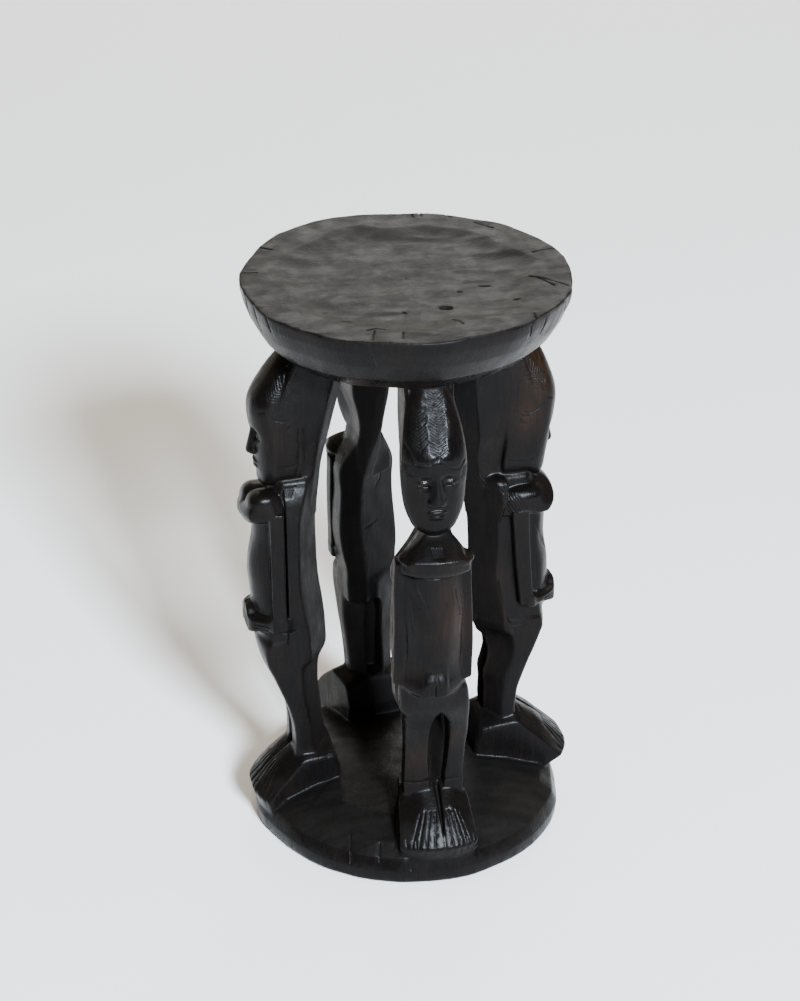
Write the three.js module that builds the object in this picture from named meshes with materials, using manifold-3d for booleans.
// Carved wooden stool, used as a side table: a dished round seat carried on four
// standing figures that face outwards from a domed round base, all cut from one log.
// Millimetres, +Z up. The origin is the middle of the underside, and the front figure faces -Y.
import * as THREE from "three";
import { mergeVertices } from "three/addons/utils/BufferGeometryUtils.js";
import Module from "manifold-3d";

const wasm = await Module();
wasm.setup();

// Driving dimensions
const height = 460;
const seatRadius = 122;
const seatThickness = 51;
const dishDepth = 4;
const rimThickness = 10;
const baseRadius = 123;
const moundHeight = 45;

// The four figures, front, right, back and left: each one's turn about the upright axis,
// how far it stands out beyond the common ring, how much lower than level its shoulders
// were cut, and how much thicker its back was left.
const figures = [
  { turn: 0, shift: 1, drop: 0, thicker: 0 },
  { turn: 95, shift: -6, drop: 17, thicker: 9 },
  { turn: 190, shift: 1, drop: 14, thicker: 0 },
  { turn: 273, shift: 3, drop: 0, thicker: 0 },
];

// Levels of a figure above the floor
const level = {
  toes: 41,
  ankle: 76,
  shin: 100,
  crotch: 160,
  elbow: 178,
  belly: 228,
  shoulder: 284,
  chin: 299,
  brow: 352,
  crown: 424,
};

// Half widths of a figure
const half = { head: 24.5, neck: 14, yoke: 30, torso: 24, hip: 26, ankle: 9.5, foot: 13 };

// How far the main surfaces stand out from the stool's axis
const out = {
  heel: 58,
  back: 68,
  ankle: 91,
  middle: 95,
  face: 116,
  forehead: 119,
  belly: 121,
  yoke: 126,
  toes: 128,
};

// Sides of the round seat and base
const roundSides = 40;

// Colour and finish of the stained and waxed wood
const stainedWood = new THREE.MeshStandardMaterial({
  color: "#241f1c",
  roughness: 0.42,
  metalness: 0,
});

// Joining and cutting of closed meshes
function solidOf(geometry) {
  const bare = geometry.clone();
  for (const name of ["normal", "uv"]) bare.deleteAttribute(name);
  const merged = mergeVertices(bare, 1e-3);
  return new wasm.Manifold(
    new wasm.Mesh({
      numProp: 3,
      vertProperties: merged.attributes.position.array,
      triVerts: new Uint32Array(merged.index.array),
    }),
  );
}

function geometryOf(solid) {
  const mesh = solid.getMesh();
  return new THREE.BufferGeometry()
    .setAttribute("position", new THREE.BufferAttribute(mesh.vertProperties, 3))
    .setIndex(new THREE.BufferAttribute(mesh.triVerts, 1));
}

// A closed skin over a row of rings. ring(station, angle) gives a point, and the
// rings run so that the angle turns counter-clockwise seen from the last ring.
function skin(ring, stations, sides) {
  const points = [];
  const faces = [];
  for (let i = 0; i < stations; i++)
    for (let j = 0; j < sides; j++)
      points.push(...ring(i, (2 * Math.PI * j) / sides));
  for (let i = 0; i + 1 < stations; i++)
    for (let j = 0; j < sides; j++) {
      const k = (j + 1) % sides;
      const [a, b] = [i * sides + j, i * sides + k];
      faces.push(a, b, b + sides, a, b + sides, a + sides);
    }
  for (const [i, outwards] of [[0, false], [stations - 1, true]]) {
    const middle = new THREE.Vector3();
    for (let j = 0; j < sides; j++)
      middle.add(new THREE.Vector3().fromArray(points, 3 * (i * sides + j)));
    const centre = points.length / 3;
    points.push(...middle.divideScalar(sides).toArray());
    for (let j = 0; j < sides; j++) {
      const [a, b] = [i * sides + j, i * sides + ((j + 1) % sides)];
      faces.push(centre, ...(outwards ? [a, b] : [b, a]));
    }
  }
  return solidOf(
    new THREE.BufferGeometry()
      .setAttribute("position", new THREE.Float32BufferAttribute(points, 3))
      .setIndex(faces),
  );
}

// Smooth run of a size through its values at the stations, cut into even steps
function smooth(values, steps) {
  const path = new THREE.CatmullRomCurve3(
    values.map((v) => new THREE.Vector3(v, 0, 0)),
    false,
    "centripetal",
  );
  return (i) => path.getPoint(i / (steps - 1)).x;
}

// An upright limb or trunk: flat sections stacked up Z. Each section has its height,
// the back and front of the section counted outwards from the stool's axis, its half
// width, and its middle to one side. squareness 2 is an ellipse and more is boxier, and
// ridge is the same for the half that faces the axis, where under 2 gives a keel.
function stack({ sections, steps, sides, squareness = 2.4, ridge = squareness }) {
  const names = ["z", "back", "front", "half", "side"];
  const run = Object.fromEntries(
    names.map((n) => [n, smooth(sections.map((s) => s[n] ?? 0), steps)]),
  );
  return skin(
    (i, angle) => {
      const power = 2 / (Math.sin(angle) > 1e-6 ? ridge : squareness);
      const rounded = (t) => Math.sign(t) * Math.abs(t) ** power;
      return [
        run.side(i) + run.half(i) * rounded(Math.cos(angle)),
        -(run.front(i) + run.back(i)) / 2 +
          ((run.front(i) - run.back(i)) / 2) * rounded(Math.sin(angle)),
        run.z(i),
      ];
    },
    steps,
    sides,
  );
}

// A bar or lump along a path of points, each to one side, out from the axis, and up. Its
// oval section shrinks towards both ends, the later the smaller blunt is.
function bar({ path, across, tall, steps, sides, blunt = 0.5 }) {
  const curve = new THREE.CatmullRomCurve3(
    path.map(([side, outwards, z]) => new THREE.Vector3(side, -outwards, z)),
    false,
    "centripetal",
  );
  const end = 0.02;
  return skin(
    (i, angle) => {
      const t = end + (1 - 2 * end) * (0.5 - 0.5 * Math.cos((Math.PI * i) / (steps - 1)));
      const along = curve.getTangent(t);
      const flat = new THREE.Vector3(-along.y, along.x, 0);
      if (flat.length() < 0.3) flat.set(1, 0, 0);
      flat.normalize();
      const up = new THREE.Vector3().crossVectors(along, flat).normalize();
      const swell = (1 - Math.abs(2 * t - 1) ** 4) ** blunt;
      return curve
        .getPoint(t)
        .addScaledVector(flat, across * swell * Math.cos(angle))
        .addScaledVector(up, tall * swell * Math.sin(angle))
        .toArray();
    },
    steps,
    sides,
  );
}

// A round piece turned about the upright axis, from radius and height pairs
function turned(profile) {
  const lathe = new THREE.LatheGeometry(
    profile.map(([r, z]) => new THREE.Vector2(r, z)),
    roundSides,
  );
  return solidOf(lathe.rotateX(Math.PI / 2));
}

// Seat: a shallow dish with a thin rim, and a bowl-shaped underside
function seat() {
  const underside = height - seatThickness;
  return turned([
    [0, underside],
    [seatRadius * 0.7, underside],
    [seatRadius * 0.81, underside + 5],
    [seatRadius * 0.9, underside + 21],
    [seatRadius, height - rimThickness],
    [seatRadius, height - 3],
    [seatRadius - 3, height],
    [seatRadius * 0.88, height - 1],
    [seatRadius * 0.62, height - dishDepth],
    [0, height - dishDepth],
  ]);
}

// Base: flat below, with a rounded edge and a low mound that the feet stand on
function base() {
  return turned([
    [0, 0],
    [baseRadius - 3, 0],
    [baseRadius, 4],
    [baseRadius, 12],
    [baseRadius - 4, 22],
    [baseRadius - 14, 30],
    [baseRadius - 40, 38],
    [baseRadius - 80, moundHeight - 1],
    [0, moundHeight],
  ]);
}

// The long head leans out under the seat, and a strut behind it runs up to the bowl
function neckAndHead() {
  const strut = stack({
    sections: [
      { z: level.shoulder - 12, back: out.back, front: 104, half: half.neck + 1 },
      { z: level.chin + 6, back: out.back, front: 100, half: half.neck },
      { z: level.chin + 26, back: 63, front: 102, half: half.neck + 2 },
      { z: level.brow, back: 57, front: 104, half: half.head - 4 },
      { z: level.crown - 34, back: 50, front: 102, half: half.head - 3 },
      { z: level.crown, back: 42, front: 92, half: half.head - 3 },
    ],
    steps: 7,
    sides: 12,
    ridge: 1.5,
  });
  const head = stack({
    sections: [
      { z: level.chin, back: 90, front: 107, half: 7 },
      { z: level.chin + 7, back: 85, front: 112, half: 14 },
      { z: level.chin + 24, back: 82, front: out.face, half: 20 },
      { z: level.brow - 8, back: 80, front: out.face, half: half.head - 1 },
      { z: level.brow + 14, back: 78, front: out.forehead, half: half.head },
      { z: level.crown - 44, back: 74, front: out.forehead - 4, half: half.head - 1 },
      { z: level.crown - 24, back: 68, front: 106, half: half.head - 3 },
      { z: level.crown, back: 62, front: 94, half: half.head - 4 },
    ],
    steps: 9,
    sides: 14,
    squareness: 2.2,
  });
  const nose = bar({
    path: [
      [0, out.face - 3, level.brow - 6],
      [0, out.face, level.brow - 17],
      [0, out.face + 2, level.brow - 29],
    ],
    across: 4,
    tall: 5,
    steps: 3,
    sides: 6,
  });
  return [strut, head, nose];
}

// Trunk with a ridge down its back, under a yoke of square shoulders
function trunk() {
  const torso = stack({
    sections: [
      { z: level.crotch - 6, back: out.back, front: 112, half: half.hip - 1 },
      { z: level.elbow, back: out.back - 4, front: 114, half: half.hip },
      { z: level.elbow + 26, back: out.back - 1, front: 118, half: half.torso },
      { z: level.belly, back: out.back, front: out.belly, half: half.torso },
      { z: level.shoulder - 18, back: out.back, front: 116, half: half.torso },
      { z: level.shoulder + 2, back: out.back, front: 110, half: half.torso - 1 },
      { z: level.shoulder + 17, back: out.back, front: 99, half: half.neck },
    ],
    steps: 8,
    sides: 16,
    squareness: 3,
    ridge: 1.6,
  });
  const yoke = stack({
    sections: [
      { z: level.shoulder - 15, back: 82, front: out.yoke - 9, half: half.yoke - 4 },
      { z: level.shoulder - 9, back: 79, front: out.yoke - 3, half: half.yoke - 1 },
      { z: level.shoulder, back: 77, front: out.yoke, half: half.yoke },
      { z: level.shoulder + 8, back: 74, front: out.yoke - 4, half: half.yoke - 5 },
      { z: level.shoulder + 14, back: 71, front: 111, half: half.yoke - 11 },
      { z: level.shoulder + 22, back: 69, front: 101, half: half.neck },
    ],
    steps: 7,
    sides: 14,
    squareness: 4,
  });
  return [torso, yoke];
}

// An arm hangs from the yoke, turns square at the elbow, and its hand lies under the
// belly. sideways is -1 or 1, for the figure's two sides.
function arm(sideways) {
  const upper = bar({
    path: [
      [sideways * 25, 101, level.shoulder],
      [sideways * 25.5, 101, level.belly],
      [sideways * 24, 100, level.elbow - 2],
    ],
    across: 5,
    tall: 8,
    steps: 5,
    sides: 8,
    blunt: 0.25,
  });
  const forearm = bar({
    path: [
      [sideways * 24, 94, level.elbow + 6],
      [sideways * 20, 110, level.elbow + 6],
      [sideways * 12, 117, level.elbow + 9],
      [sideways * 0.5, 118, level.elbow + 11],
    ],
    across: 7.5,
    tall: 10,
    steps: 6,
    sides: 8,
    blunt: 0.3,
  });
  return [upper, forearm];
}

// A leg narrows to the ankle and stands on a tall wedge-shaped foot
function legAndFoot(sideways) {
  const ankleSide = sideways * 13;
  const leg = stack({
    sections: [
      { z: 36, back: 60, front: 94, half: half.ankle, side: ankleSide },
      { z: level.ankle - 14, back: 66, front: 93, half: half.ankle, side: ankleSide },
      { z: level.ankle, back: 70, front: out.ankle, half: half.ankle - 0.5, side: ankleSide },
      { z: level.shin, back: 73, front: 96, half: half.ankle, side: sideways * 13.5 },
      { z: level.crotch - 36, back: 72, front: 103, half: 11, side: sideways * 14 },
      { z: level.crotch - 10, back: 66, front: 112, half: 12.5, side: sideways * 13.5 },
      { z: level.crotch + 10, back: 65, front: 115, half: 14, side: sideways * 12 },
    ],
    steps: 8,
    sides: 10,
  });
  const outline = new THREE.Shape(
    [
      [out.heel, 22],
      [out.toes - 9, 24],
      [out.toes - 2, level.toes - 9],
      [out.toes, level.toes - 4],
      [out.toes - 3, level.toes + 1],
      [out.ankle + 3, level.ankle - 4],
      [out.heel + 8, level.ankle - 10],
      [out.heel, level.toes + 4],
    ].map(([x, y]) => new THREE.Vector2(x, y)),
  );
  const wedge = new THREE.ExtrudeGeometry(outline, {
    depth: 2 * half.foot,
    bevelEnabled: false,
    steps: 1,
  });
  wedge.translate(0, 0, -half.foot);
  wedge.applyMatrix4(
    new THREE.Matrix4().makeBasis(
      new THREE.Vector3(0, -1, 0),
      new THREE.Vector3(0, 0, 1),
      new THREE.Vector3(-1, 0, 0),
    ),
  );
  const position = wedge.attributes.position;
  for (let i = 0; i < position.count; i++) {
    const reach = (-position.getY(i) - out.heel) / (out.toes - out.heel);
    const spread = 0.72 + 0.38 * reach;
    position.setX(i, position.getX(i) * spread + sideways * (12.5 + 4.5 * reach));
  }
  return [leg, solidOf(wedge)];
}

// Thin wall of wood left standing between the legs
function web() {
  return stack({
    sections: [
      { z: 36, back: 72, front: 88, half: 12 },
      { z: level.ankle, back: 74, front: 85, half: 12 },
      { z: level.crotch, back: 73, front: 98, half: 12 },
      { z: level.crotch + 14, back: 70, front: 108, half: 12 },
    ],
    steps: 4,
    sides: 6,
    squareness: 4,
  });
}

// A figure facing -Y. Its shoulders are cut lower by drop, and what lies between them
// and the shins, or between them and the seat, is drawn down in proportion. Its back is
// left thicker towards the axis, most at the shoulders.
function figure({ drop, thicker }) {
  const pieces = [
    ...neckAndHead(),
    ...trunk(),
    ...arm(-1),
    ...arm(1),
    ...legAndFoot(-1),
    ...legAndFoot(1),
    web(),
  ];
  const geometry = geometryOf(pieces.reduce((whole, piece) => whole.add(piece)));
  const position = geometry.attributes.position;
  for (let i = 0; i < position.count; i++) {
    const [y, z] = [position.getY(i), position.getZ(i)];
    const below = (z - level.shin) / (level.shoulder - level.shin);
    const above = (level.crown - z) / (level.crown - level.brow);
    const share = THREE.MathUtils.clamp(Math.min(below, above), 0, 1);
    const rearward = THREE.MathUtils.clamp((out.middle + y) / (out.middle - out.back), 0, 1);
    position.setZ(i, z - drop * share);
    position.setY(i, y + thicker * share * rearward);
  }
  return solidOf(geometry);
}

// All of it is one piece of wood
function carvedStool() {
  let whole = seat().add(base());
  for (const cut of figures)
    whole = whole.add(figure(cut).translate([0, -cut.shift, 0]).rotate([0, 0, cut.turn]));
  return whole;
}

const stool = new THREE.Group();
const wood = new THREE.Mesh(geometryOf(carvedStool()), stainedWood);
wood.name = "carved_stool";
stool.add(wood);

export default stool;
